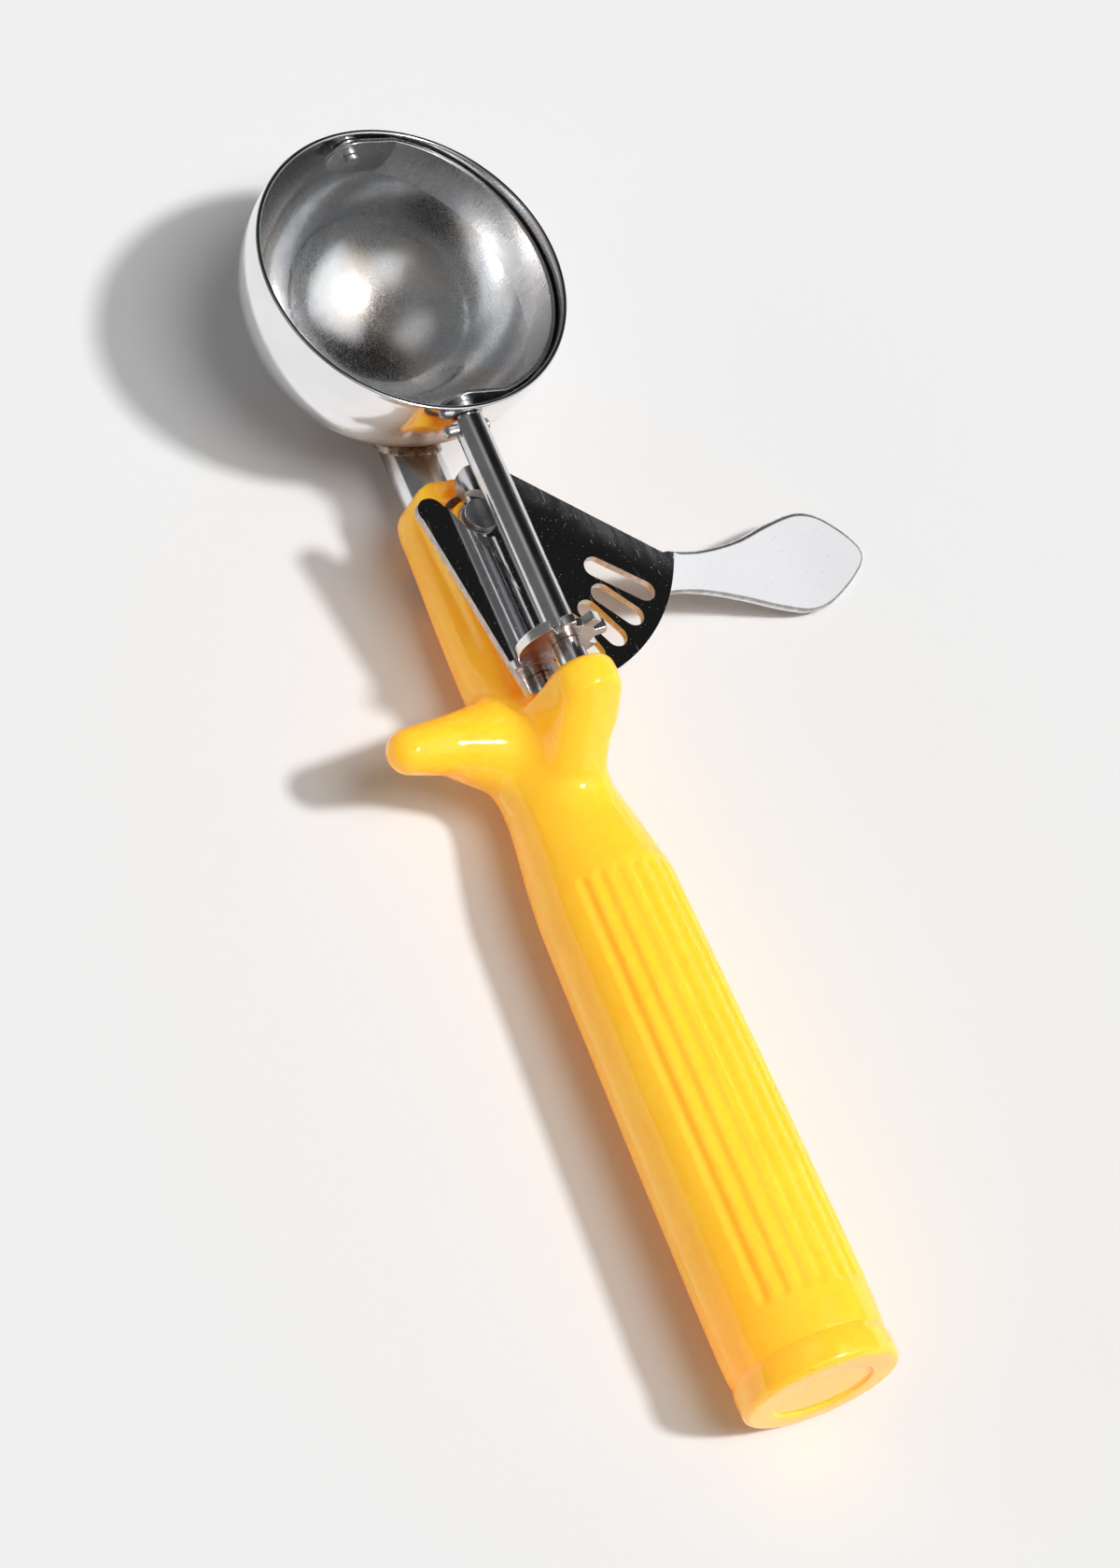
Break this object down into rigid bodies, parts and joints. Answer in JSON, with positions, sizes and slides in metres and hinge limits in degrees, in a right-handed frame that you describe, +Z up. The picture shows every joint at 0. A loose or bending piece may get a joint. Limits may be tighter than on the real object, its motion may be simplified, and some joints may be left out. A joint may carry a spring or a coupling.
{
  "type": "lever ice cream scoop",
  "caption": "Ice cream scoop with a round steel bowl, a plastic grip with a finger guard, and a sprung thumb lever that turns a geared rod to sweep a scraper blade round the bowl",
  "frame": {"origin": "middle of the bounding box in plan, on the table that the scoop lies on", "axes": "+X runs from the bowl towards the butt of the grip, +Y towards the side of the thumb tab, +Z up from the table; the scoop lies with the bowl's mouth up, on the bowl, the front of the grip and the tip of the thumb tab, as in use on a counter"},
  "size_m": [0.2337, 0.1007, 0.0392],
  "materials": {
    "bowl_steel": "brushed",
    "blade_steel": "brushed",
    "bright_steel": "polished",
    "rod_steel": "polished",
    "dull_steel": "satin",
    "cast_steel": "satin",
    "lever_steel": "polished",
    "rivet_steel": "satin",
    "spring_steel": "satin",
    "shank_steel": "polished",
    "weld_bead": "satin",
    "yellow_plastic": "gloss",
    "cap_plastic": "gloss"
  },
  "bodies": {
    "frame": {"handle": "yellow_plastic", "end_cap": "cap_plastic", "shank": "shank_steel", "shank_weld": "weld_bead", "bowl": "bowl_steel", "blade_front_pin": "bright_steel", "blade_front_spacer": "bright_steel", "pivot_rivet": "rivet_steel", "rivet_washer": "dull_steel", "return_spring": "spring_steel"},
    "rod": {"drive_rod": "rod_steel", "pinion": "cast_steel", "rod_journal": "rod_steel", "blade_drive_pin": "bright_steel", "rod_cross_pin": "dull_steel", "blade_rear_spacer": "bright_steel", "scraper_blade": "blade_steel"},
    "lever": {"thumb_lever": "lever_steel"}
  },
  "joints": [
    {"name": "lever_press", "type": "hinge", "parent": "frame", "child": "lever", "pos_m": [-0.04375, -0.0195, 0.02344], "axis": [0.0304, -0.2487, -0.9681], "range_deg": [0, 39.1], "stiffness_Nm_per_rad": 0.08, "springref_deg": -68.75, "deforming": ["return_spring"]},
    {"name": "rod_turn", "type": "hinge", "parent": "frame", "child": "rod", "pos_m": [-0.08743, -0.01682, 0.0285], "axis": [-0.9995, 0, -0.0314], "range_deg": [0, 160]}
  ],
  "couplings": [
    {"joint": "rod_turn", "follows": "lever_press", "ratio": 4.0909}
  ]
}
